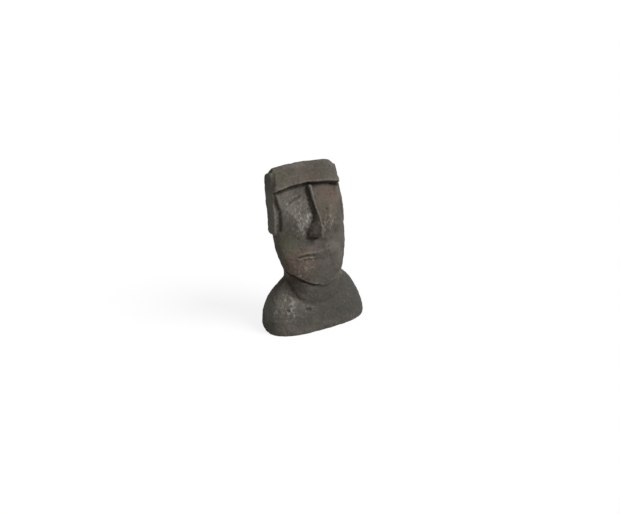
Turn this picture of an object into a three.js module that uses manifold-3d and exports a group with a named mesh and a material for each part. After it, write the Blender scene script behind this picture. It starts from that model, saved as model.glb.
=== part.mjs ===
// A garden moai: a stylised Easter Island head on bare shoulders, cast in one piece of stone mix.
// Millimetres, +Z up. The face looks along -Y and the origin is the middle of the flat underside.
// The torso and neck stand upright. The head leans back, so it is shaped in its own upright frame
// and then turned about the X axis as a whole.
import * as THREE from "three";
import { mergeVertices } from "three/addons/utils/BufferGeometryUtils.js";
import Module from "manifold-3d";

const wasm = await Module();
wasm.setup();

// ---- Driving dimensions ----

const HEAD_LEAN = THREE.MathUtils.degToRad(9.3);
const HEAD_FORWARD = 4;

// Torso: half width, front, widest line and back of its rounded sections, by height.
const TORSO_TOP = 212;
const TORSO_SQUARENESS = 2.7;
const TORSO_HALF_WIDTH = [
  [0, 193], [6, 195], [50, 190], [85, 180], [136, 155], [165, 131], [190, 106], [212, 86],
];
const TORSO_FRONT = [[0, 105], [6, 107], [40, 103], [80, 93], [108, 82], [135, 61], [160, 44], [212, 30]];
const TORSO_WIDEST = [[0, 0], [60, -6], [120, -3], [160, 15], [212, 22]];
const TORSO_BACK = [[0, 105], [6, 107], [60, 102], [110, 88], [160, 66], [212, 30]];

// Neck: a thick column with a narrow front panel, rising out of the torso into the head.
const NECK_BOTTOM = 20;
const NECK_TOP = 290;
const NECK_HALF_WIDTH = 105;
const NECK_FRONT = [[20, 84], [100, 86], [150, 85], [180, 80], [290, 50]];
const NECK_WIDEST = 6;
const NECK_BACK = [[20, 40], [160, 36], [220, 28], [290, 34]];
const NECK_SQUARENESS = 2.4;

// Head core in its own frame: the sides, the face plane and the back, by height. The jaw drifts
// a little towards +X, as in anything carved by eye.
const HEAD_BOTTOM = 118;
const HEAD_TOP = 583;
const HEAD_HALF_WIDTH = [
  [118, 78], [165, 93], [190, 104], [240, 121], [300, 133],
  [345, 134], [385, 127], [505, 124], [583, 115],
];
const HEAD_DRIFT = [[118, 0], [190, 2], [240, 3], [300, 3], [440, 0]];
const HEAD_FRONT = [
  [118, 98], [140, 108], [180, 110], [250, 107], [330, 109], [420, 107], [505, 101], [583, 76],
];
const HEAD_WIDEST = 64;
const HEAD_MIDDLE = 40;
const HEAD_BACK = [[118, -14], [220, -4], [330, 6], [450, 14], [540, 12], [583, 4]];
const HEAD_TAPER = [[118, 0.42], [190, 0.31], [250, 0.28], [310, 0.28], [360, 0.18], [420, 0.08], [480, 0.03]];
const HEAD_SQUARENESS = 5;
const BAND_SQUARENESS = 9;
const BACK_SQUARENESS = 3.1;
const CROWN_ROUNDING = 18;
const CROWN_CREST = 84;
const CROWN_FALL = 0.19;
const CROWN_DOME = 8;

// Jaw line: how high the lower edge of the face stands, by distance from the chin's lowest point.
const CHIN_LEVEL = 142;
const CHIN_SHIFT = 13;
const JAW_RISE = 66;
const JAW_CURVE = 1.4;
const JAW_REACH = 114;
const JAW_BACK = 62;

// Brow: the overhanging band of the forehead, which flares sideways at its lower edge.
const BROW_LEVEL = 506;
const BROW_ARCH = 8;
const BROW_THICKNESS = 10;
const BROW_FLARE = 4;

// Face relief. The nose and lips are blocks rooted inside the head, which rise from the face plane.
// The crowding moves points of the rings from the back to the face.
const FACE_PLANE = 104;
const FACE_ROOT = 80;
const FACE_CROWDING = 0.42;
const EYE_RECESS = 11;
const MOUTH_LEVEL = 262;
const UPPER_LIP = 21;
const LOWER_LIP = 15;
const MOUTH_HALF_WIDTH = 82;

// Nose: a long blade with steep flanks, hollow in profile, bent a little towards +X.
const NOSE_ROOT = 506;
const NOSE_BASE = 331;
const NOSE_TIP_DROP = 7;
const NOSE_CENTRE = [[331, 3], [360, 6], [390, 11], [422, 9], [461, 7], [506, 5]];
const NOSE_BEND = 0.12;
const NOSE_HALF_WIDTH = [[331, 38], [346, 40], [362, 28], [378, 14], [450, 10], [506, 8]];
const NOSE_RIDGE = [[331, 46], [342, 51], [362, 48], [394, 36], [422, 26], [461, 14], [506, 6]];

// Ears: long slabs, wider apart at the lobes.
const EAR_TOP = 564;
const EAR_BOTTOM = 348;
const EAR_FRONT = 90;
const EAR_BACK = 18;
const EAR_THICKNESS = 15;
const EAR_OUTER_AT_BROW = 129;
const EAR_SPLAY = THREE.MathUtils.degToRad(3.6);

// ---- Small helpers ----

// A smooth step that is 0 at the start and 1 at the end, in either direction.
function ease(start, end, x) {
  const t = THREE.MathUtils.clamp((x - start) / (end - start), 0, 1);
  return t * t * (3 - 2 * t);
}

// A soft bell, 1 at the centre and 0 from the reach outwards.
function bell(x, centre, reach) {
  const t = Math.min(1, Math.abs(x - centre) / reach);
  return (1 - t * t) ** 2;
}

// The size at a height, on a smooth curve through [height, size] stations.
function along(stations, height) {
  const last = stations.length - 1;
  if (height <= stations[0][0]) return stations[0][1];
  if (height >= stations[last][0]) return stations[last][1];
  const i = stations.findIndex(([h]) => h > height) - 1;
  const rise = (k) => stations[k + 1][1] - stations[k][1];
  const span = (k) => stations[k + 1][0] - stations[k][0];
  const slope = (k) => rise(k) / span(k);
  const before = i > 0 ? (slope(i - 1) + slope(i)) / 2 : slope(i);
  const after = i + 1 < last ? (slope(i) + slope(i + 1)) / 2 : slope(i);
  const t = (height - stations[i][0]) / span(i);
  const a = before * span(i) - rise(i);
  const b = rise(i) - after * span(i);
  return stations[i][1] + rise(i) * t + t * (1 - t) * (a * (1 - t) + b * t);
}

// A point of a rounded section. The angle is 0 at the front and grows towards +X. The front,
// the widest line and the back are distances in front of and behind the axis.
function sectionPoint(angle, { halfWidth, front, widest, back, squareness, backSquareness, taper = 0 }) {
  const ahead = Math.cos(angle) > 0;
  const power = 2 / (ahead ? squareness : backSquareness ?? squareness);
  const across = Math.sign(Math.sin(angle)) * Math.abs(Math.sin(angle)) ** power;
  const forward = Math.abs(Math.cos(angle)) ** power;
  const x = halfWidth * across * (1 - (ahead ? taper * forward ** 2 : 0));
  return [x, ahead ? -widest - (front - widest) * forward : -widest + (back + widest) * forward];
}

// A closed body of stacked rings. The place function turns an angle, a height share and
// whether the point is on the ring (1) or on the axis (0) into a point.
function ringBody(around, rows, place) {
  const geometry = new THREE.CylinderGeometry(1, 1, 1, around, rows);
  const position = geometry.getAttribute("position");
  for (let i = 0; i < position.count; i++) {
    const [x, y, z] = [position.getX(i), position.getY(i), position.getZ(i)];
    const out = Math.hypot(x, z) < 0.5 ? 0 : 1;
    // The seam's two columns of points have to be at exactly the same angle.
    const onSeam = z > 0 && Math.abs(x) < 1e-9;
    position.setXYZ(i, ...place(out && !onSeam ? Math.atan2(x, z) : 0, y + 0.5, out));
  }
  return geometry;
}

// A geometry as a solid that can be joined and cut.
function solidOf(geometry) {
  geometry.deleteAttribute("normal");
  geometry.deleteAttribute("uv");
  const merged = mergeVertices(geometry, 1e-3);
  return new wasm.Manifold(
    new wasm.Mesh({
      numProp: 3,
      vertProperties: merged.getAttribute("position").array,
      triVerts: new Uint32Array(merged.index.array),
    }),
  );
}

// ---- The parts of the casting ----

function torso() {
  const geometry = ringBody(60, 16, (angle, share, out) => {
    const height = TORSO_TOP * share;
    const [x, y] = sectionPoint(angle, {
      halfWidth: along(TORSO_HALF_WIDTH, height),
      front: along(TORSO_FRONT, height),
      widest: along(TORSO_WIDEST, height),
      back: along(TORSO_BACK, height),
      squareness: TORSO_SQUARENESS,
    });
    return [x * out, y * out, height];
  });
  return solidOf(geometry);
}

function neck() {
  const geometry = ringBody(44, 8, (angle, share, out) => {
    const height = NECK_BOTTOM + (NECK_TOP - NECK_BOTTOM) * share;
    const [x, y] = sectionPoint(angle, {
      halfWidth: NECK_HALF_WIDTH,
      front: along(NECK_FRONT, height),
      widest: NECK_WIDEST,
      back: along(NECK_BACK, height),
      squareness: NECK_SQUARENESS,
      backSquareness: BACK_SQUARENESS,
    });
    return [x * out, y * out, height];
  });
  return solidOf(geometry);
}

// How far the face stands proud of its plane: sunk eyes, cheekbones that run down to the nose,
// hollow cheeks, a full mouth and a chin.
function relief(x, height) {
  const side = Math.abs(x);
  const eye = -EYE_RECESS * ease(400, 490, height) * ease(122, 100, side);
  const cheek = 6 * bell(side, 52 + (height - 350) * 0.35, 34) * bell(height, 385, 75);
  const muzzle = 7 * bell(side, 0, 96) * bell(height, 262, 62);
  const chin = 4 * bell(side, 0, 60) * bell(height, 172, 42);
  const hollow = -9 * bell(height, 318, 52) * ease(44, 88, side);
  return eye + cheek + muzzle + chin + hollow;
}

// The rows of the head from the jaw to the crown: height, how far it is drawn in, and whether
// it belongs to the brow band.
function headRows() {
  const rows = [];
  const faceRows = 34;
  for (let i = 0; i <= faceRows; i++) {
    rows.push({ height: HEAD_BOTTOM + ((BROW_LEVEL - HEAD_BOTTOM) * i) / faceRows, inset: 0, band: 0 });
  }
  const shoulder = HEAD_TOP - CROWN_ROUNDING;
  const bandRows = 4;
  for (let i = 0; i <= bandRows; i++) {
    rows.push({ height: BROW_LEVEL + 2 + ((shoulder - BROW_LEVEL - 2) * i) / bandRows, inset: 0, band: 1 });
  }
  const crownRows = 4;
  for (let i = 1; i <= crownRows; i++) {
    const turn = (Math.PI / 2) * (i / crownRows);
    const height = shoulder + CROWN_ROUNDING * Math.sin(turn);
    rows.push({ height, inset: CROWN_ROUNDING * (1 - Math.cos(turn)), band: 1 });
  }
  return rows;
}

// The crown is domed across and falls away behind its crest.
function crownShape(x, y, height) {
  const near = ease(HEAD_TOP - 70, HEAD_TOP, height);
  const behind = y + CROWN_CREST;
  const fall = CROWN_FALL * (behind + Math.hypot(behind, 14)) / 2;
  return near * (CROWN_DOME * (1 - (x / 118) ** 2) - fall);
}

// The rows near the brow follow its arch.
function browArch(x, height) {
  const below = ease(BROW_LEVEL - 100, BROW_LEVEL, height);
  const above = ease(HEAD_TOP - 24, BROW_LEVEL + 8, height);
  const near = Math.min(below, above);
  return BROW_ARCH * near * (1 - 2 * (x / 118) ** 2);
}

// How far the band's ends stand out sideways over the temples, most at its lower edge.
function browFlare(height) {
  return BROW_FLARE * ease(BROW_LEVEL + 50, BROW_LEVEL, height);
}

function headCore() {
  const rows = headRows();
  const geometry = ringBody(60, rows.length - 1, (angle, share, out) => {
    const { height, inset, band } = rows[Math.round(share * (rows.length - 1))];
    if (!out) return [0, -HEAD_MIDDLE, height + crownShape(0, -HEAD_MIDDLE, height)];
    const [x, y] = sectionPoint(angle - FACE_CROWDING * Math.sin(angle), {
      halfWidth: along(HEAD_HALF_WIDTH, height) - inset + band * browFlare(height),
      front: along(HEAD_FRONT, height) - inset,
      widest: HEAD_WIDEST,
      back: along(HEAD_BACK, height) - inset,
      squareness: band ? BAND_SQUARENESS : HEAD_SQUARENESS,
      backSquareness: BACK_SQUARENESS,
      taper: along(HEAD_TAPER, height),
    });
    const facing = ease(HEAD_WIDEST, along(HEAD_FRONT, height) - inset, -y);
    const proud = band ? BROW_THICKNESS * (1 - 0.5 * ease(530, 600, height)) : relief(x, height);
    const drift = along(HEAD_DRIFT, height);
    return [x + drift, y - proud * facing, height + browArch(x, height) + crownShape(x, y, height)];
  });
  return solidOf(geometry);
}

// All that lies under the jaw line, as a block to cut away from the head.
function underJaw() {
  const steps = 18;
  const margin = 40;
  const outline = new THREE.Shape();
  outline.moveTo(-JAW_REACH - margin, HEAD_BOTTOM - margin);
  outline.lineTo(-JAW_REACH - margin, CHIN_LEVEL + JAW_RISE * 1.4);
  for (let i = 0; i <= steps; i++) {
    const x = JAW_REACH * ((2 * i) / steps - 1);
    const side = Math.abs(x - CHIN_SHIFT) / JAW_REACH;
    outline.lineTo(x, CHIN_LEVEL + JAW_RISE * side ** JAW_CURVE);
  }
  outline.lineTo(JAW_REACH + margin, CHIN_LEVEL + JAW_RISE * 1.4);
  outline.lineTo(JAW_REACH + margin, HEAD_BOTTOM - margin);
  const geometry = new THREE.ExtrudeGeometry(outline, { depth: 100, bevelEnabled: false });
  // Drawn in X and Z, and running from in front of the face to the jaw's corner.
  geometry.rotateX(Math.PI / 2);
  geometry.translate(0, -JAW_BACK, 0);
  return solidOf(geometry);
}

// How far the nose stands out of the face plane, by share of its half width and by height:
// a blade with steep flanks, which opens into two wings that slope down from the tip.
function noseProfile(across, height) {
  const side = Math.abs(across);
  const wing = ease(392, 352, height);
  const blade = ease(1, 0.3, side);
  const slope = (1 - 0.72 * side ** 0.8) * (1 - side ** 8);
  return along(NOSE_RIDGE, height) * THREE.MathUtils.lerp(blade, slope, wing) - 8 * ease(0.8, 1, side);
}

function nose() {
  const geometry = new THREE.BoxGeometry(2, 1, 1, 16, 1, 15);
  const position = geometry.getAttribute("position");
  for (let i = 0; i < position.count; i++) {
    const across = position.getX(i);
    const forward = 0.5 - position.getY(i);
    const height = THREE.MathUtils.lerp(NOSE_ROOT, NOSE_BASE, 0.5 - position.getZ(i));
    const proud = noseProfile(across, height);
    const bent = across + NOSE_BEND * (1 - across ** 2);
    const x = along(NOSE_CENTRE, height) + along(NOSE_HALF_WIDTH, height) * bent;
    // The underside falls towards the tip.
    const drop = NOSE_TIP_DROP * bell(across, 0, 0.8) * ease(NOSE_BASE + 30, NOSE_BASE, height) * forward;
    position.setXYZ(i, x, -THREE.MathUtils.lerp(FACE_ROOT, FACE_PLANE + proud, forward), height - drop);
  }
  return solidOf(geometry);
}

// Two long, thin, pouting lips. The line between them dips in the middle and at its ends.
function lips() {
  const geometry = new THREE.BoxGeometry(2, 1, 2, 20, 1, 10);
  const position = geometry.getAttribute("position");
  for (let i = 0; i < position.count; i++) {
    const across = position.getX(i);
    const forward = 0.5 - position.getY(i);
    const up = position.getZ(i);
    const side = MOUTH_HALF_WIDTH * Math.abs(across);
    const full = (1 - across ** 4) ** 0.6;
    const lip = 4 * bell(Math.abs(up), 0.5, 0.5) * full ** 0.5;
    const pout = 9 * bell(side, 0, 98);
    const edge = 9 * ease(0.55, 1, Math.abs(up)) + 7 * across ** 6;
    const y = -THREE.MathUtils.lerp(FACE_ROOT, FACE_PLANE + 2.5 + pout + lip - edge, forward);
    const line = MOUTH_LEVEL + 1.5 * bell(side, 46, 46) - 2 * bell(side, 0, 44);
    const height = line + (up > 0 ? UPPER_LIP : LOWER_LIP) * up * (0.3 + 0.7 * full);
    position.setXYZ(i, MOUTH_HALF_WIDTH * across, y, height);
  }
  return solidOf(geometry);
}

function earSlab() {
  const round = 16;
  const crown = 30;
  const lobe = 10;
  const outline = new THREE.Shape();
  outline.moveTo(-EAR_BACK - crown, EAR_TOP);
  outline.lineTo(-EAR_FRONT + 14, EAR_TOP);
  outline.quadraticCurveTo(-EAR_FRONT + 4, EAR_TOP, -EAR_FRONT + 3, EAR_TOP - 14);
  outline.lineTo(-EAR_FRONT + 2, BROW_LEVEL - 20);
  outline.lineTo(-EAR_FRONT, EAR_BOTTOM + 80);
  outline.lineTo(-EAR_FRONT + lobe, EAR_BOTTOM + round);
  outline.quadraticCurveTo(-EAR_FRONT + lobe, EAR_BOTTOM, -EAR_FRONT + lobe + round, EAR_BOTTOM);
  outline.lineTo(-EAR_BACK - round, EAR_BOTTOM + 4);
  outline.quadraticCurveTo(-EAR_BACK, EAR_BOTTOM + 6, -EAR_BACK, EAR_BOTTOM + 6 + round);
  outline.lineTo(-EAR_BACK, EAR_TOP - crown);
  outline.quadraticCurveTo(-EAR_BACK, EAR_TOP, -EAR_BACK - crown, EAR_TOP);
  const edge = 5;
  const geometry = new THREE.ExtrudeGeometry(outline, {
    depth: EAR_THICKNESS - 2 * edge,
    bevelThickness: edge,
    bevelSize: edge,
    bevelOffset: -edge,
    bevelSegments: 2,
    curveSegments: 4,
  });
  geometry.translate(0, 0, edge - EAR_THICKNESS);
  return placedBesideHead(geometry);
}

// Stands what is drawn in Y and Z, thick along X, at the ear's place and splay.
function placedBesideHead(geometry) {
  const upright = new THREE.Matrix4().makeBasis(
    new THREE.Vector3(0, 1, 0),
    new THREE.Vector3(0, 0, 1),
    new THREE.Vector3(1, 0, 0),
  );
  geometry.applyMatrix4(upright);
  geometry.translate(0, 0, -BROW_LEVEL);
  geometry.rotateY(-EAR_SPLAY);
  geometry.translate(EAR_OUTER_AT_BROW, 0, BROW_LEVEL);
  return solidOf(geometry);
}

// ---- The whole casting ----

function moaiBust() {
  const ear = earSlab();
  const mirrored = (solid) => solid.mirror([1, 0, 0]);
  const head = headCore()
    .subtract(underJaw())
    .add(ear)
    .add(mirrored(ear))
    .add(nose())
    .add(lips())
    .translate([0, -HEAD_FORWARD, 0])
    .rotate([-THREE.MathUtils.radToDeg(HEAD_LEAN), 0, 0]);
  const whole = torso().add(neck()).add(head);
  const mesh = whole.getMesh();
  const geometry = new THREE.BufferGeometry();
  geometry.setAttribute("position", new THREE.BufferAttribute(mesh.vertProperties, 3));
  geometry.setIndex(new THREE.BufferAttribute(mesh.triVerts, 1));
  geometry.computeVertexNormals();
  return geometry;
}

const castStone = new THREE.MeshStandardMaterial({ color: 0x554f48, roughness: 0.92, metalness: 0 });
const bust = new THREE.Mesh(moaiBust(), castStone);
bust.name = "moai_bust";

const group = new THREE.Group();
group.add(bust);
export default group;
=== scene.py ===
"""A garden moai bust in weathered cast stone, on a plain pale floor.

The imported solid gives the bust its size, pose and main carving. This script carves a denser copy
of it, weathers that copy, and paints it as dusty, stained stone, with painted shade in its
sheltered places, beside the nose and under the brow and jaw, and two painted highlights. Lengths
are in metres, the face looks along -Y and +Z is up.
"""

import logging
import math
from dataclasses import dataclass, field
from enum import Enum

import bpy
import numpy as np
from mathutils import Matrix, Vector
from mathutils.bvhtree import BVHTree

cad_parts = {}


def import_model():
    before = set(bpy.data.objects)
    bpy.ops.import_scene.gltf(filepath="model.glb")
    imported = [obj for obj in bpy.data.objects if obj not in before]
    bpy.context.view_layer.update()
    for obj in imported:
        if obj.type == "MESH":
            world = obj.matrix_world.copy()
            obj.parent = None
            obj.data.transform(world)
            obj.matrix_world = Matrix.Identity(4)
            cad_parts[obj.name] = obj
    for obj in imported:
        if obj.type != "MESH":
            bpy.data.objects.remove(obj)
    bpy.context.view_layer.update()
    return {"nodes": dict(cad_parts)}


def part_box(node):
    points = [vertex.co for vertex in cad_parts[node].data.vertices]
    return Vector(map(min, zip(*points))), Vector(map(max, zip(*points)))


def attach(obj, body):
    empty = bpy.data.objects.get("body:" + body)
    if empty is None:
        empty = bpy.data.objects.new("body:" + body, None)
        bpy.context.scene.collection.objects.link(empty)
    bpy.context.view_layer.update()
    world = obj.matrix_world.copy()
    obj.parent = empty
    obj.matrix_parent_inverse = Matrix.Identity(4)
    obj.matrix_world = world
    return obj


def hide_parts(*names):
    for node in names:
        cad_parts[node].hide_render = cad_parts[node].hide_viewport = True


LOG = logging.getLogger("moai")
MM = 0.001
FRAME_NODE = "moai_bust"


class Relief(Enum):
    """The kinds of rough surface that weather and casting leave on the stone."""

    SWELL = "CLOUDS"
    HAMMERED = "VORONOI"


class Mask(Enum):
    """The painted values that each point of the carved mesh keeps for its material."""

    CREASE = "crease"
    EDGE = "edge"
    # How much of the sky the stone hides there; the material paints it as shade.
    SHELTER = "shelter"
    # Stains along the marks, and painted shade along the marks that lie in shade.
    STAIN = "stain"


def only_select(piece: bpy.types.Object) -> None:
    """Deselect everything, then select the piece and make it active.

    Args:
        piece: The object that the next operators act on.
    """
    bpy.ops.object.select_all(action="DESELECT")
    piece.select_set(True)
    bpy.context.view_layer.objects.active = piece


def apply_modifier(piece: bpy.types.Object, modifier: bpy.types.Modifier) -> None:
    """Apply one modifier to the piece's mesh.

    Args:
        piece: The object that carries the modifier.
        modifier: The modifier to apply.
    """
    only_select(piece)
    bpy.ops.object.modifier_apply(modifier=modifier.name)


def points_of(mesh: bpy.types.Mesh) -> np.ndarray:
    """Read the mesh's points.

    Args:
        mesh: The mesh to read.

    Returns:
        One row of three coordinates for each vertex.
    """
    flat = np.zeros(len(mesh.vertices) * 3)
    mesh.vertices.foreach_get("co", flat)
    return flat.reshape(-1, 3)


def normals_of(mesh: bpy.types.Mesh) -> np.ndarray:
    """Read the mesh's vertex normals.

    Args:
        mesh: The mesh to read.

    Returns:
        One row of three coordinates for each vertex.
    """
    flat = np.zeros(len(mesh.vertices) * 3)
    mesh.vertex_normals.foreach_get("vector", flat)
    return flat.reshape(-1, 3)


def smooth_step(start: float, end: float, value: np.ndarray) -> np.ndarray:
    """Rise smoothly from 0 at the start to 1 at the end, in either direction.

    Args:
        start: The value that gives 0.
        end: The value that gives 1.
        value: The values to turn into shares.

    Returns:
        A share for each value.
    """
    share = np.clip((value - start) / (end - start), 0.0, 1.0)
    return share * share * (3.0 - 2.0 * share)


@dataclass(frozen=True)
class ReliefLayer:
    """One layer of rough surface, pushed in or out along the normals.

    A layer of only pits leaves the stone between them alone: a pit is at its deepest below the
    texture's value at its bottom, and ends at the value of its rim.
    """

    name: str
    kind: Relief
    grain: float
    depth: float
    detail: int = 2
    only_pits: bool = False
    pit_bottom: float = 0.04
    pit_rim: float = 0.19

    def texture(self) -> bpy.types.Texture:
        """Build the layer's procedural texture.

        Returns:
            The texture, with its grain in metres.
        """
        made = bpy.data.textures.new(self.name, self.kind.value)
        made.noise_scale = self.grain
        if self.kind is Relief.SWELL:
            made.noise_depth = self.detail
        if self.only_pits:
            made.use_color_ramp = True
            ramp = made.color_ramp
            ramp.elements[0].position = self.pit_bottom
            ramp.elements[0].color = (0.0, 0.0, 0.0, 1.0)
            ramp.elements[1].position = self.pit_rim
            ramp.elements[1].color = (1.0, 1.0, 1.0, 1.0)
        return made

    def press_into(self, piece: bpy.types.Object) -> None:
        """Displace the piece by this layer.

        Args:
            piece: The carved stone.
        """
        modifier = piece.modifiers.new(self.name, "DISPLACE")
        modifier.texture = self.texture()
        modifier.texture_coords = "LOCAL"
        modifier.direction = "NORMAL"
        modifier.strength = self.depth
        modifier.mid_level = 1.0 if self.only_pits else 0.5
        apply_modifier(piece, modifier)


@dataclass(frozen=True)
class Mark:
    """What carving and weather did along a line through points on the stone, in millimetres, with
    the stains and painted shade laid along it.
    """

    name: str
    route: tuple[tuple[float, float, float], ...]
    width: float
    depth: float = 0.0
    stain: float = 0.0
    wear_rounds: int = 0

    def weights(self, points: np.ndarray) -> np.ndarray:
        """Work out how strong the mark is at each point.

        Args:
            points: The mesh's points in metres.

        Returns:
            A share from 0 outside the mark to 1 along its line.
        """
        route = np.array(self.route) * MM
        nearest = np.full(len(points), np.inf)
        for start, end in zip(route[:-1], route[1:]):
            run = end - start
            share = np.clip(((points - start) @ run) / (run @ run), 0.0, 1.0)
            away = np.linalg.norm(points - start - share[:, None] * run, axis=1)
            nearest = np.minimum(nearest, away)
        return smooth_step(self.width * MM, 0.0, nearest)


@dataclass
class CarvedBust:
    """The whole bust: a dense, weathered copy of the solid that keeps the solid's form."""

    voxel: float = 2.75 * MM
    weld_gap: float = 0.01 * MM
    smoothing_rounds: int = 4
    rubbing: float = 0.5
    foot_height: float = 2.0 * MM
    faint_bend: float = 0.1 * MM
    strong_bend: float = 1.6 * MM
    bend_rounds: int = 14
    shelter_rays: int = 20
    quick_shelter_rays: int = 6
    shelter_reach: float = 70 * MM
    shelter_lift: float = 0.8 * MM
    shelter_lean: float = 0.15
    layers: tuple[ReliefLayer, ...] = (
        ReliefLayer("broad_swell", Relief.SWELL, 60 * MM, 4.0 * MM, detail=1),
        ReliefLayer("small_lumps", Relief.SWELL, 15 * MM, 2.8 * MM, detail=3),
        ReliefLayer("hammer_marks", Relief.HAMMERED, 10 * MM, 1.3 * MM),
        ReliefLayer("deep_pits", Relief.HAMMERED, 23 * MM, 1.5 * MM, only_pits=True),
    )
    marks: tuple[Mark, ...] = ()
    piece: bpy.types.Object = field(init=False)

    def build(self, node: bpy.types.Object, stone: bpy.types.Material) -> bpy.types.Object:
        """Make the finished piece.

        Args:
            node: The solid from the frame.
            stone: The stone's material.

        Returns:
            The piece, dressed and tied to the frame.
        """
        self.piece = self._copy_of(node)
        self._remesh()
        self._soften()
        for mark in self.marks:
            self._shape(mark)
        for layer in self.layers:
            layer.press_into(self.piece)
        self._flatten_underside()
        self._paint_masks()
        self.piece.data.materials.clear()
        self.piece.data.materials.append(stone)
        only_select(self.piece)
        bpy.ops.object.shade_smooth()
        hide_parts(FRAME_NODE)
        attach(self.piece, "root")
        return self.piece

    def _copy_of(self, node: bpy.types.Object) -> bpy.types.Object:
        """Copy the solid and merge its loose triangles into one skin.

        Args:
            node: The solid from the frame.

        Returns:
            The copy, free of the frame.
        """
        copy = bpy.data.objects.new("weathered_moai", node.data.copy())
        bpy.context.scene.collection.objects.link(copy)
        only_select(copy)
        bpy.ops.object.mode_set(mode="EDIT")
        bpy.ops.mesh.select_all(action="SELECT")
        bpy.ops.mesh.remove_doubles(threshold=self.weld_gap)
        bpy.ops.object.mode_set(mode="OBJECT")
        for attribute in ("custom_normal", "sharp_face"):
            if attribute in copy.data.attributes:
                copy.data.attributes.remove(copy.data.attributes[attribute])
        return copy

    def _remesh(self) -> None:
        """Turn the faceted skin into small, even faces."""
        modifier = self.piece.modifiers.new("even_faces", "REMESH")
        modifier.mode = "VOXEL"
        modifier.voxel_size = self.voxel
        modifier.adaptivity = 0.0
        apply_modifier(self.piece, modifier)

    def _soften(self) -> None:
        """Wear the facets and sharp corners away."""
        modifier = self.piece.modifiers.new("worn_edges", "SMOOTH")
        modifier.factor = self.rubbing
        modifier.iterations = self.smoothing_rounds
        apply_modifier(self.piece, modifier)

    def _shape(self, mark: Mark) -> None:
        """Wear the stone down and cut it along one mark.

        Args:
            mark: The line, and what happened along it.
        """
        if not mark.depth and not mark.wear_rounds:
            return
        group = self.piece.vertex_groups.new(name=mark.name)
        weights = mark.weights(points_of(self.piece.data))
        for index in np.nonzero(weights > 0.0)[0]:
            group.add([int(index)], float(weights[index]), "REPLACE")
        if mark.wear_rounds:
            wear = self.piece.modifiers.new(mark.name, "SMOOTH")
            wear.vertex_group = group.name
            wear.factor = self.rubbing
            wear.iterations = mark.wear_rounds
            apply_modifier(self.piece, wear)
        if mark.depth:
            cut = self.piece.modifiers.new(mark.name, "DISPLACE")
            cut.vertex_group = group.name
            cut.direction = "NORMAL"
            cut.strength = -mark.depth * MM
            cut.mid_level = 0.0
            apply_modifier(self.piece, cut)
        self.piece.vertex_groups.remove(self.piece.vertex_groups[mark.name])

    def _flatten_underside(self) -> None:
        """Press the foot of the bust back onto the floor's level."""
        mesh = self.piece.data
        points = points_of(mesh)
        low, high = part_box(FRAME_NODE)
        points[:, 0] = np.clip(points[:, 0], low.x, high.x)
        points[:, 1] = np.clip(points[:, 1], low.y, high.y)
        points[:, 2] = np.clip(points[:, 2], 0.0, high.z)
        near_floor = points[:, 2] < self.foot_height
        points[near_floor, 2] = 0.0
        mesh.vertices.foreach_set("co", points.ravel())
        mesh.update()

    def _paint_masks(self) -> None:
        """Keep at each vertex how creased, proud and sheltered the stone is there."""
        mesh = self.piece.data
        points = points_of(mesh)
        normals = normals_of(mesh)
        bend = self._bend(mesh, points, normals)
        self._store(Mask.CREASE, smooth_step(self.faint_bend, self.strong_bend, -bend))
        self._store(Mask.EDGE, smooth_step(self.faint_bend, self.strong_bend, bend))
        self._store(Mask.SHELTER, self._shelter(mesh, points, normals))
        # Stains along the marks, and painted shade along the marks that lie in shade.
        stain = np.zeros(len(points))
        for mark in self.marks:
            stain = np.maximum(stain, mark.stain * mark.weights(points))
        self._store(Mask.STAIN, stain)

    def _store(self, mask: Mask, values: np.ndarray) -> None:
        """Keep one value for each vertex.

        Args:
            mask: Which of the painted values this is.
            values: A share for each vertex.
        """
        attribute = self.piece.data.attributes.new(mask.value, "FLOAT", "POINT")
        attribute.data.foreach_set("value", values.astype(np.float32))

    def _bend(self, mesh: bpy.types.Mesh, points: np.ndarray, normals: np.ndarray) -> np.ndarray:
        """Measure how far each point stands above its smoothed surroundings.

        Args:
            mesh: The carved mesh.
            points: Its points.
            normals: Its vertex normals.

        Returns:
            Metres above the surroundings, negative in a crease.
        """
        edges = np.zeros(len(mesh.edges) * 2, dtype=np.int64)
        mesh.edges.foreach_get("vertices", edges)
        edges = edges.reshape(-1, 2)
        count = np.bincount(edges.ravel(), minlength=len(points))[:, None]
        smooth = points.copy()
        for _ in range(self.bend_rounds):
            total = np.zeros_like(smooth)
            np.add.at(total, edges[:, 0], smooth[edges[:, 1]])
            np.add.at(total, edges[:, 1], smooth[edges[:, 0]])
            smooth = 0.5 * smooth + 0.5 * total / count
        return np.einsum("ij,ij->i", points - smooth, normals)

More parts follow.
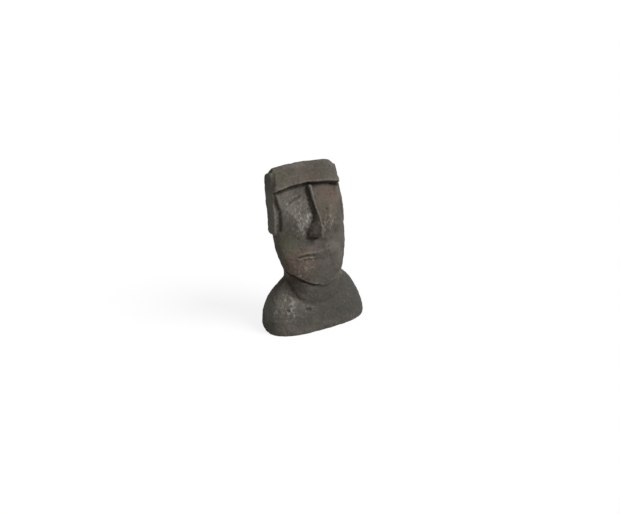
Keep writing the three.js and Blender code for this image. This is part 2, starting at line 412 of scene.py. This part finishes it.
    def _shelter(self, mesh: bpy.types.Mesh, points: np.ndarray, normals: np.ndarray) -> np.ndarray:
        """Measure how much of the sky above each point the stone itself hides.

        Args:
            mesh: The carved mesh.
            points: Its points.
            normals: Its vertex normals.

        Returns:
            A share from 0 in the open to 1 deep in a corner.
        """
        mesh.calc_loop_triangles()
        corners = np.zeros(len(mesh.loop_triangles) * 3, dtype=np.int64)
        mesh.loop_triangles.foreach_get("vertices", corners)
        tree = BVHTree.FromPolygons(points.tolist(), corners.reshape(-1, 3).tolist())
        rays = self.shelter_rays
        golden = math.pi * (3.0 - math.sqrt(5.0))
        hidden = np.zeros(len(points))
        for ray in range(rays):
            rise = (ray + 0.5) / rays
            flat = math.sqrt(1.0 - rise * rise)
            turn = golden * ray
            local = np.array([flat * math.cos(turn), flat * math.sin(turn), rise])
            sideways = np.array([local[0], local[1], 0.0])
            directions = normals * (local[2] + self.shelter_lean) + sideways
            directions /= np.linalg.norm(directions, axis=1, keepdims=True)
            starts = points + normals * self.shelter_lift
            for i, (start, way) in enumerate(zip(starts, directions)):
                if tree.ray_cast(Vector(start), Vector(way), self.shelter_reach)[0] is not None:
                    hidden[i] += 1.0
        return np.clip(hidden / rays, 0.0, 1.0)


class NodeSheet:
    """A small helper for laying out shader nodes."""

    def __init__(self, tree: bpy.types.NodeTree) -> None:
        """Keep the tree whose nodes are laid out."""
        self.tree = tree

    def add(self, kind: str, **settings: object) -> bpy.types.Node:
        """Add a node.

        Args:
            kind: Blender's name of the node's type.
            **settings: The node's own properties.

        Returns:
            The new node.
        """
        node = self.tree.nodes.new(kind)
        for name, value in settings.items():
            setattr(node, name, value)
        return node

    def link(self, source: bpy.types.NodeSocket, target: bpy.types.NodeSocket) -> None:
        """Join an output to an input."""
        self.tree.links.new(source, target)

    def math(self, operation: str, first: object, second: object) -> bpy.types.NodeSocket:
        """Work out one value from two.

        Args:
            operation: The Math node's operation.
            first: A socket or a number.
            second: A socket or a number.

        Returns:
            The result's socket.
        """
        node = self.add("ShaderNodeMath", operation=operation)
        for socket, value in zip(node.inputs, (first, second)):
            if isinstance(value, bpy.types.NodeSocket):
                self.link(value, socket)
            else:
                socket.default_value = value
        return node.outputs["Value"]

    def ramp(self, value: bpy.types.NodeSocket, start: float, end: float) -> bpy.types.NodeSocket:
        """Rise smoothly from 0 to 1 between two values.

        Args:
            value: The socket to read.
            start: The value that gives 0.
            end: The value that gives 1.

        Returns:
            The share's socket.
        """
        node = self.add("ShaderNodeMapRange", interpolation_type="SMOOTHSTEP")
        self.link(value, node.inputs["Value"])
        node.inputs["From Min"].default_value = start
        node.inputs["From Max"].default_value = end
        return node.outputs["Result"]

    def tint(
        self,
        base: bpy.types.NodeSocket | tuple[float, float, float],
        colour: tuple[float, float, float],
        share: bpy.types.NodeSocket,
    ) -> bpy.types.NodeSocket:
        """Lay a colour over another.

        Args:
            base: The colour underneath, as a socket or as plain numbers.
            colour: The colour on top.
            share: How much of it shows.

        Returns:
            The mixed colour's socket.
        """
        node = self.add("ShaderNodeMix", data_type="RGBA")
        colours = [socket for socket in node.inputs if socket.type == "RGBA"]
        if isinstance(base, bpy.types.NodeSocket):
            self.link(base, colours[0])
        else:
            colours[0].default_value = (*base, 1.0)
        colours[1].default_value = (*colour, 1.0)
        self.link(share, node.inputs["Factor"])
        return next(socket for socket in node.outputs if socket.type == "RGBA")


class PatchGroup:
    """A node group: a ragged patch round a place, broken up by noise.

    The share of the reach at which a patch is whole and the one at which it ends are pushed to
    and fro by the noise. Flakes are a finer noise, drawn out upwards, that lets the stone show.
    """

    WHOLE = 0.30
    GONE = 1.05
    FLAKE_GRAIN = 125.0
    FLAKE_HEIGHT = 0.55
    FLAKE_EDGE = (0.50, 0.60)

    def __init__(self) -> None:
        """Build the group once."""
        self.tree = bpy.data.node_groups.new("ragged_patch", "ShaderNodeTree")
        for name, kind in (
            ("Centre", "NodeSocketVector"),
            ("Reach", "NodeSocketFloat"),
            ("Raggedness", "NodeSocketFloat"),
            ("Grain", "NodeSocketFloat"),
            ("Flaking", "NodeSocketFloat"),
        ):
            self.tree.interface.new_socket(name, in_out="INPUT", socket_type=kind)
        self.tree.interface.new_socket("Mask", in_out="OUTPUT", socket_type="NodeSocketFloat")
        sheet = NodeSheet(self.tree)
        given = sheet.add("NodeGroupInput")
        place = sheet.add("ShaderNodeTexCoord")
        away = sheet.add("ShaderNodeVectorMath", operation="DISTANCE")
        sheet.link(place.outputs["Object"], away.inputs[0])
        sheet.link(given.outputs["Centre"], away.inputs[1])
        share = sheet.math("DIVIDE", away.outputs["Value"], given.outputs["Reach"])
        noise = sheet.add("ShaderNodeTexNoise")
        sheet.link(place.outputs["Object"], noise.inputs["Vector"])
        sheet.link(given.outputs["Grain"], noise.inputs["Scale"])
        noise.inputs["Detail"].default_value = 5.0
        noise.inputs["Roughness"].default_value = 0.62
        centred = sheet.math("SUBTRACT", noise.outputs["Fac"], 0.5)
        ragged = sheet.math("MULTIPLY", centred, given.outputs["Raggedness"])
        pushed = sheet.math("ADD", share, ragged)
        whole = sheet.ramp(pushed, self.GONE, self.WHOLE)
        flakes = sheet.add("ShaderNodeTexNoise")
        stretched = sheet.add("ShaderNodeMapping")
        stretched.inputs["Scale"].default_value = (1.0, 1.0, self.FLAKE_HEIGHT)
        sheet.link(place.outputs["Object"], stretched.inputs["Vector"])
        sheet.link(stretched.outputs["Vector"], flakes.inputs["Vector"])
        flakes.inputs["Scale"].default_value = self.FLAKE_GRAIN
        flakes.inputs["Detail"].default_value = 3.0
        flakes.inputs["Roughness"].default_value = 0.55
        flaked = sheet.ramp(flakes.outputs["Fac"], *self.FLAKE_EDGE)
        kept = sheet.math("ADD", sheet.math("MULTIPLY", given.outputs["Flaking"], -1.0), 1.0)
        broken = sheet.math("ADD", kept, sheet.math("MULTIPLY", flaked, given.outputs["Flaking"]))
        mask = sheet.math("MULTIPLY", whole, broken)
        result = sheet.add("NodeGroupOutput")
        sheet.link(mask, result.inputs["Mask"])

    def place(self, sheet: NodeSheet, patch: "Patch") -> bpy.types.NodeSocket:
        """Place the group in a material.

        Args:
            sheet: The material's nodes.
            patch: The place, size and raggedness of the patch.

        Returns:
            The patch's mask.
        """
        node = sheet.add("ShaderNodeGroup", node_tree=self.tree)
        node.inputs["Centre"].default_value = [value * MM for value in patch.centre]
        node.inputs["Reach"].default_value = patch.reach * MM
        node.inputs["Raggedness"].default_value = patch.raggedness
        node.inputs["Grain"].default_value = patch.grain
        node.inputs["Flaking"].default_value = patch.flaking
        return sheet.math("MULTIPLY", node.outputs["Mask"], patch.strength)


@dataclass(frozen=True)
class Patch:
    """A patch of one colour on the stone, with its place and reach in millimetres."""

    colour: tuple[float, float, float]
    centre: tuple[float, float, float]
    reach: float
    strength: float
    raggedness: float = 1.6
    grain: float = 34.0
    flaking: float = 0.0


@dataclass(frozen=True)
class WeatheredStone:
    """Dark grey-brown cast stone with dusty wear, stains and dark dirt in its creases, painted
    shade where it hides the sky and along some marks, and two painted highlights.

    The grains are the sizes of its noises, in grains to the metre.
    """

    body: tuple[float, float, float] = (0.084, 0.073, 0.062)
    shade: tuple[float, float, float] = (0.052, 0.046, 0.039)
    dust: tuple[float, float, float] = (0.190, 0.172, 0.146)
    # Dark dirt in creases and pocks, and also the colour of painted shade.
    grime_and_shade: tuple[float, float, float] = (0.024, 0.017, 0.011)
    roughness: float = 0.92
    shine: float = 0.25
    mottle_grain: float = 16.0
    cloud_grain: float = 30.0
    speckle_grain: float = 330.0
    pock_grain: float = 210.0
    stain_grain: float = 75.0
    finest_grain: float = 420.0
    finest_depth: float = 0.8 * MM
    dustiness: float = 0.7
    edge_wear: float = 0.40
    crease_dirt: float = 0.8
    pock_dirt: float = 0.5
    patches: tuple[Patch, ...] = ()

    def build(self) -> bpy.types.Material:
        """Build the material.

        Returns:
            The stone's material.
        """
        stone = bpy.data.materials.new("weathered_cast_stone")
        stone.use_nodes = True
        sheet = NodeSheet(stone.node_tree)
        sheet.tree.nodes.clear()
        shader = sheet.add("ShaderNodeBsdfPrincipled")
        result = sheet.add("ShaderNodeOutputMaterial")
        sheet.link(shader.outputs["BSDF"], result.inputs["Surface"])
        shader.inputs["Roughness"].default_value = self.roughness
        shader.inputs["Specular IOR Level"].default_value = self.shine
        colour = self._colour(sheet)
        sheet.link(colour, shader.inputs["Base Color"])
        sheet.link(self._bump(sheet), shader.inputs["Normal"])
        return stone

    def _noise(self, sheet: NodeSheet, scale: float, detail: float) -> bpy.types.NodeSocket:
        """Add a noise over the stone.

        Args:
            sheet: The material's nodes.
            scale: Grains to the metre.
            detail: How many finer layers it has.

        Returns:
            The noise's value.
        """
        place = sheet.add("ShaderNodeTexCoord")
        noise = sheet.add("ShaderNodeTexNoise")
        sheet.link(place.outputs["Object"], noise.inputs["Vector"])
        noise.inputs["Scale"].default_value = scale
        noise.inputs["Detail"].default_value = detail
        noise.inputs["Roughness"].default_value = 0.6
        return noise.outputs["Fac"]

    def _painted(self, sheet: NodeSheet, mask: Mask) -> bpy.types.NodeSocket:
        """Read one of the values painted on the mesh."""
        return sheet.add("ShaderNodeAttribute", attribute_name=mask.value).outputs["Fac"]

    def _colour(self, sheet: NodeSheet) -> bpy.types.NodeSocket:
        """Lay the stone's colours over each other.

        Args:
            sheet: The material's nodes.

        Returns:
            The colour's socket.
        """
        mottled = sheet.ramp(self._noise(sheet, self.mottle_grain, 6.0), 0.38, 0.62)
        colour = sheet.tint(self.body, self.shade, mottled)
        group = PatchGroup()
        for patch in self.patches:
            colour = sheet.tint(colour, patch.colour, group.place(sheet, patch))
        speckle = sheet.ramp(self._noise(sheet, self.speckle_grain, 3.0), 0.52, 0.74)
        cloud = sheet.ramp(self._noise(sheet, self.cloud_grain, 4.0), 0.40, 0.66)
        dusty = sheet.math("MULTIPLY", speckle, sheet.math("MULTIPLY", cloud, self.dustiness))
        worn = sheet.math("MULTIPLY", self._painted(sheet, Mask.EDGE), self.edge_wear)
        colour = sheet.tint(colour, self.dust, sheet.math("MAXIMUM", dusty, worn))
        pocks = sheet.ramp(self._noise(sheet, self.pock_grain, 2.0), 0.42, 0.28)
        creased = self._painted(sheet, Mask.CREASE)
        # Painted shade: the more of the sky the stone hides at a point, the darker its colour.
        # Creases and pocks are darkened as dirt.
        sheltered = sheet.ramp(self._painted(sheet, Mask.SHELTER), 0.35, 0.9)
        dirt_and_shade = sheet.math("MAXIMUM", sheet.math("MULTIPLY", creased, self.crease_dirt), sheltered)
        dirt_and_shade = sheet.math("MAXIMUM", dirt_and_shade, sheet.math("MULTIPLY", pocks, self.pock_dirt))
        centred = sheet.math("SUBTRACT", self._noise(sheet, self.stain_grain, 5.0), 0.5)
        uneven = sheet.math("MULTIPLY", centred, 1.5)
        # Stains and painted shade along the marks, broken up by noise.
        stain = self._painted(sheet, Mask.STAIN)
        broken = sheet.math("MULTIPLY", stain, sheet.math("ADD", uneven, 1.0))
        stain_and_shade_share = sheet.ramp(broken, 0.05, 0.95)
        return sheet.tint(colour, self.grime_and_shade, sheet.math("MAXIMUM", dirt_and_shade, stain_and_shade_share))

    def _bump(self, sheet: NodeSheet) -> bpy.types.NodeSocket:
        """Give the stone its finest grain.

        Args:
            sheet: The material's nodes.

        Returns:
            The normal's socket.
        """
        bump = sheet.add("ShaderNodeBump")
        bump.inputs["Strength"].default_value = 0.6
        bump.inputs["Distance"].default_value = self.finest_depth
        sheet.link(self._noise(sheet, self.finest_grain, 4.0), bump.inputs["Height"])
        return bump.outputs["Normal"]


@dataclass(frozen=True)
class FloorPaint:
    """White studio floor: evenly bright to look at, with a faint shadow where the bust stands."""

    colour: tuple[float, float, float] = (0.55, 0.55, 0.55)
    glow: float = 0.85
    shadow_share: float = 0.22

    def build(self) -> bpy.types.Material:
        """Build the material.

        Returns:
            The floor's material.
        """
        paint = bpy.data.materials.new("studio_floor")
        paint.use_nodes = True
        sheet = NodeSheet(paint.node_tree)
        sheet.tree.nodes.clear()
        matt = sheet.add("ShaderNodeBsdfPrincipled")
        matt.inputs["Base Color"].default_value = (*self.colour, 1.0)
        matt.inputs["Roughness"].default_value = 1.0
        matt.inputs["Specular IOR Level"].default_value = 0.0
        bright = sheet.add("ShaderNodeEmission")
        bright.inputs["Color"].default_value = (1.0, 1.0, 1.0, 1.0)
        bright.inputs["Strength"].default_value = self.glow / (1.0 - self.shadow_share)
        path = sheet.add("ShaderNodeLightPath")
        mix = sheet.add("ShaderNodeMixShader")
        result = sheet.add("ShaderNodeOutputMaterial")
        share = sheet.math("MULTIPLY", path.outputs["Is Camera Ray"], 1.0 - self.shadow_share)
        sheet.link(share, mix.inputs["Fac"])
        sheet.link(matt.outputs["BSDF"], mix.inputs[1])
        sheet.link(bright.outputs["Emission"], mix.inputs[2])
        sheet.link(mix.outputs["Shader"], result.inputs["Surface"])
        return paint


@dataclass
class Studio:
    """The floor, the soft light and the camera."""

    floor_radius: float = 30.0
    aim: tuple[float, float, float] = (0.0, 0.0, 0.280)
    distance: float = 2.134
    azimuth: float = -24.7
    elevation: float = 19.5
    roll: float = 3.8
    lens: float = 34.4
    shift: tuple[float, float] = (0.0015, -0.0152)
    backdrop: float = 1.1
    surround: float = 0.36
    key_strength: float = 4.3
    key_spread: float = 28.0
    key_azimuth: float = 40.0
    key_elevation: float = 42.0

    def build(self) -> None:
        """Set the stage."""
        self._floor()
        self._surround()
        self._key()
        self._camera()
        bpy.context.scene.view_settings.view_transform = "Standard"

    def _direction(self, azimuth: float, elevation: float) -> Vector:
        """Turn a compass angle and a height angle into a direction from the bust.

        Args:
            azimuth: Degrees from the face's direction, positive towards +X.
            elevation: Degrees above the floor.

        Returns:
            A direction of length 1.
        """
        turn = math.radians(azimuth)
        rise = math.radians(elevation)
        flat = math.cos(rise)
        return Vector((math.sin(turn) * flat, -math.cos(turn) * flat, math.sin(rise)))

    def _floor(self) -> None:
        """Lay a wide round floor under the bust."""
        bpy.ops.object.select_all(action="DESELECT")
        bpy.ops.mesh.primitive_circle_add(vertices=96, radius=self.floor_radius, fill_type="NGON")
        floor = bpy.context.object
        floor.name = "studio_floor"
        floor.data.materials.append(FloorPaint().build())

    def _surround(self) -> None:
        """Light everything softly from all round."""
        world = bpy.data.worlds.new("white_surround")
        bpy.context.scene.world = world
        world.use_nodes = True
        sheet = NodeSheet(world.node_tree)
        sheet.tree.nodes.clear()
        path = sheet.add("ShaderNodeLightPath")
        seen = sheet.add("ShaderNodeBackground")
        lit = sheet.add("ShaderNodeBackground")
        mix = sheet.add("ShaderNodeMixShader")
        result = sheet.add("ShaderNodeOutputWorld")
        seen.inputs["Strength"].default_value = self.backdrop
        seen.inputs["Color"].default_value = (1.0, 1.0, 1.0, 1.0)
        lit.inputs["Strength"].default_value = self.surround
        lit.inputs["Color"].default_value = (1.0, 1.0, 1.0, 1.0)
        sheet.link(path.outputs["Is Camera Ray"], mix.inputs["Fac"])
        sheet.link(lit.outputs["Background"], mix.inputs[1])
        sheet.link(seen.outputs["Background"], mix.inputs[2])
        sheet.link(mix.outputs["Shader"], result.inputs["Surface"])

    def _key(self) -> None:
        """Shine one broad, soft light from high in front, to the right."""
        lamp = bpy.data.lights.new("soft_key", "SUN")
        lamp.angle = math.radians(self.key_spread)
        lamp.energy = self.key_strength
        holder = bpy.data.objects.new("soft_key", lamp)
        bpy.context.scene.collection.objects.link(holder)
        way = self._direction(self.key_azimuth, self.key_elevation)
        holder.location = Vector(self.aim) + way
        holder.rotation_mode = "QUATERNION"
        holder.rotation_quaternion = (-way).to_track_quat("-Z", "Y")

    def _camera(self) -> None:
        """Stand the camera in front, a little to the left and above."""
        data = bpy.data.cameras.new("camera")
        data.lens = self.lens
        data.shift_x, data.shift_y = self.shift
        camera = bpy.data.objects.new("camera", data)
        bpy.context.scene.collection.objects.link(camera)
        way = self._direction(self.azimuth, self.elevation)
        level = (-way).to_track_quat("-Z", "Y").to_matrix().to_4x4()
        turned = level @ Matrix.Rotation(math.radians(-self.roll), 4, "Z")
        camera.matrix_world = Matrix.Translation(Vector(self.aim) + way * self.distance) @ turned
        bpy.context.scene.camera = camera


RUST = (0.088, 0.056, 0.040)
OLIVE = (0.062, 0.060, 0.038)
# Pale dust, also used for two painted highlights.
DUST_AND_HIGHLIGHT = (0.240, 0.232, 0.205)
# A dark grey, laid in patches over the chest, the chin's left, the forehead's right top and the
# face's left side.
DARK_GREY = (0.040, 0.038, 0.032)
# Dark brown, used only for painted shade.
SHADE_BROWN = (0.033, 0.025, 0.018)
# A paler grey.
PALE_GREY = (0.118, 0.110, 0.094)

# Colours laid over the body of the stone, each over the ones before it. Some are painted shade and
# painted highlights.
STONE_PATCHES = (
    Patch(RUST, (-72, -66, 240), 95, 0.65, 1.8, 22.0),
    Patch(RUST, (30, -20, 545), 60, 0.35, 2.0, 22.0),
    Patch(RUST, (85, -26, 462), 50, 0.60, 2.0, 22.0),
    Patch(RUST, (60, -50, 400), 60, 0.30, 2.4, 30.0),
    Patch(OLIVE, (-110, -30, 330), 85, 0.70, 1.8, 20.0),
    Patch(OLIVE, (-100, -10, 555), 60, 0.55, 1.8, 20.0),
    Patch(OLIVE, (-180, -28, 90), 80, 0.30, 1.8, 20.0),
    # Paler on the left side of the shoulder and on the ear's outer side.
    Patch(PALE_GREY, (-186, -10, 100), 75, 0.65, 1.4, 20.0),
    Patch(PALE_GREY, (-128, 0, 470), 90, 0.45, 1.4, 20.0),
    Patch(PALE_GREY, (-134, 10, 390), 80, 0.50, 1.4, 20.0),
    Patch(OLIVE, (60, -45, 420), 50, 0.40, 2.0, 24.0),
    # Darker on the right and the middle of the chest.
    Patch(DARK_GREY, (130, -70, 100), 170, 0.90, 1.2, 14.0),
    Patch(DARK_GREY, (20, -95, 90), 120, 0.72, 1.6, 18.0),
    Patch(DARK_GREY, (-34, -84, 200), 62, 0.40, 1.6, 24.0),
    # Painted shade on the neck's left under the jaw, and on the jaw's left side.
    Patch(SHADE_BROWN, (-86, -54, 168), 66, 0.60, 1.0, 30.0),
    Patch(SHADE_BROWN, (-62, -74, 214), 55, 0.40, 1.6, 24.0),
    Patch(DARK_GREY, (70, -8, 572), 70, 0.40, 1.8, 20.0),
    Patch(DARK_GREY, (-104, -44, 376), 50, 0.40, 1.6, 20.0),
    # Painted shade on the nose's left wing and on the lower tip.
    Patch(SHADE_BROWN, (-24, -66, 358), 30, 0.85, 1.2, 60.0),
    Patch(SHADE_BROWN, (2, -92, 345), 20, 0.55, 1.2, 60.0),
    Patch(DUST_AND_HIGHLIGHT, (-60, -36, 450), 60, 0.45, 2.4, 30.0, 0.85),
    Patch(DUST_AND_HIGHLIGHT, (-20, -48, 404), 36, 1.00, 2.0, 50.0, 0.75),
    Patch(DUST_AND_HIGHLIGHT, (-50, -54, 385), 45, 0.45, 2.4, 40.0, 0.90),
    Patch(DUST_AND_HIGHLIGHT, (62, -55, 378), 34, 0.45, 2.4, 40.0, 0.90),
    Patch(DUST_AND_HIGHLIGHT, (-128, -64, 100), 66, 0.62, 2.2, 30.0, 0.85),
    Patch(DUST_AND_HIGHLIGHT, (-60, -72, 240), 50, 0.30, 2.4, 40.0, 0.95),
    # Painted highlight along the right edge of the jaw.
    Patch(DUST_AND_HIGHLIGHT, (98, -45, 188), 34, 0.45, 2.0, 40.0, 0.80),
    # Painted highlight on the upper lip, under the nose.
    Patch(DUST_AND_HIGHLIGHT, (-2, -62, 326), 12, 0.40, 1.0, 60.0, 0.40),
)

# What carving and weather did, in the order in which it was done, with stains and painted shade
# laid along some marks. A negative depth stands proud.
MARKS = (
    Mark("worn_mouth", ((-74, -65, 278), (0, -82, 268), (74, -65, 278)), 36, wear_rounds=9),
    Mark("faded_mouth", ((25, -80, 268), (78, -64, 276)), 36, wear_rounds=18),
    Mark(
        "mouth_line",
        ((-72, -66, 276), (-42, -73, 281), (3, -80, 272), (30, -79, 273)),
        8,
        depth=1.6,
        stain=0.75,
    ),
    # Painted shade down the nose's left flank.
    Mark(
        "nose_flank",
        ((3, -20, 512), (7, -34, 477), (9, -45, 452), (12, -58, 404), (8, -72, 380)),
        15,
        stain=0.95,
    ),
    Mark(
        "worn_ridge",
        ((1, -29, 512), (5, -46, 474), (8, -82, 403), (9, -99, 371)),
        9,
        wear_rounds=5,
    ),
    Mark(
        "nose_ridge",
        ((6, -62, 438), (10, -75, 418), (8, -90, 387), (10, -99, 368), (16, -91, 349)),
        8,
        stain=0.60,
    ),
    # Painted shade on the nose's left wing and the foot of the wing, a painted shadow under the tip
    # and the nose's painted shadow on the lip.
    Mark("nose_wing", ((-10, -66, 374), (-30, -60, 358), (-28, -60, 342)), 14, stain=0.60),
    Mark("wing_foot", ((-34, -57, 338), (-12, -62, 333), (8, -62, 331)), 9, stain=0.85),
    Mark("under_tip", ((8, -88, 338), (26, -80, 330), (36, -66, 332)), 10, stain=0.75),
    Mark("lip_shadow", ((2, -68, 331), (22, -64, 326), (40, -62, 320)), 16, stain=0.50),
    # A groove under the jaw, darkened as painted shade.
    Mark(
        "jaw_crease",
        (
            (-108, -31, 221),
            (-94, -42, 208),
            (-82, -60, 205),
            (-65, -67, 190),
            (-36, -78, 176),
            (-11, -90, 166),
        ),
        9,
        depth=2.0,
        stain=1.0,
    ),
    Mark("faded_chin", ((-8, -90, 164), (32, -86, 160), (62, -73, 166)), 20, wear_rounds=14),
    Mark(
        "neck_edge",
        ((-112, -45, 143), (-90, -60, 129), (-68, -76, 111), (-37, -87, 98)),
        11,
        depth=2.0,
        stain=0.45,
    ),
    Mark(
        "brow_shadow",
        ((118, -14, 496), (81, -10, 509), (14, -11, 514), (-10, -11, 513)),
        11,
        stain=0.85,
    ),
    Mark("far_brow_shadow", ((-10, -11, 513), (-65, -11, 510), (-113, -12, 501)), 10, stain=0.60),
    Mark("crown_corner", ((97, -1, 570), (94, 20, 572)), 34, depth=-2.0),
    Mark(
        "ear_line",
        ((-111, 0, 566), (-118, -16, 535), (-121, -13, 493)),
        6,
        depth=1.5,
        stain=0.55,
    ),
    Mark(
        "ear_hollow",
        ((-122, -14, 484), (-119, -21, 460), (-115, -27, 438)),
        17,
        depth=3.0,
        stain=0.95,
    ),
    Mark(
        "ear_crease",
        ((-119, -21, 460), (-115, -28, 430), (-115, -32, 405), (-118, -33, 378)),
        12,
        depth=1.5,
        stain=0.85,
    ),
    Mark("eyelid", ((-79, -29, 461), (-57, -25, 473), (-35, -23, 480)), 8, depth=2.4, stain=0.50),
    Mark("eye_rim", ((-82, -32, 448), (-60, -30, 462), (-38, -28, 468)), 10, depth=-1.8),
    Mark("cheek_ridge", ((-79, -39, 440), (-56, -54, 398), (-51, -57, 372)), 14, depth=-3.2),
    Mark("far_cheek_ridge", ((72, -45, 430), (62, -55, 390), (60, -56, 356)), 12, depth=-2.4),
    Mark("brow_end", ((118, -22, 520), (123, -20, 507)), 16, depth=-1.5),
    Mark("chest_dimple", ((-65, -88, 86), (-55, -91, 85)), 11, depth=4.0, stain=0.95),
    Mark("shoulder_pit", ((-134, -71, 92), (-128, -73, 90)), 8, depth=3.0, stain=0.9),
    Mark("lower_pit", ((-108, -80, 80), (-104, -82, 78)), 7, depth=2.5, stain=0.8),
)


def main() -> None:
    """Build the stage and the bust, and report each piece."""
    logging.basicConfig(level=logging.INFO, format="%(name)s: %(message)s")
    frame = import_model()
    Studio().build()
    stone = WeatheredStone(patches=STONE_PATCHES).build()
    bust = CarvedBust(marks=MARKS).build(frame["nodes"][FRAME_NODE], stone)
    LOG.info("%s: %d faces", bust.name, len(bust.data.polygons))


if __name__ == "__main__":
    main()
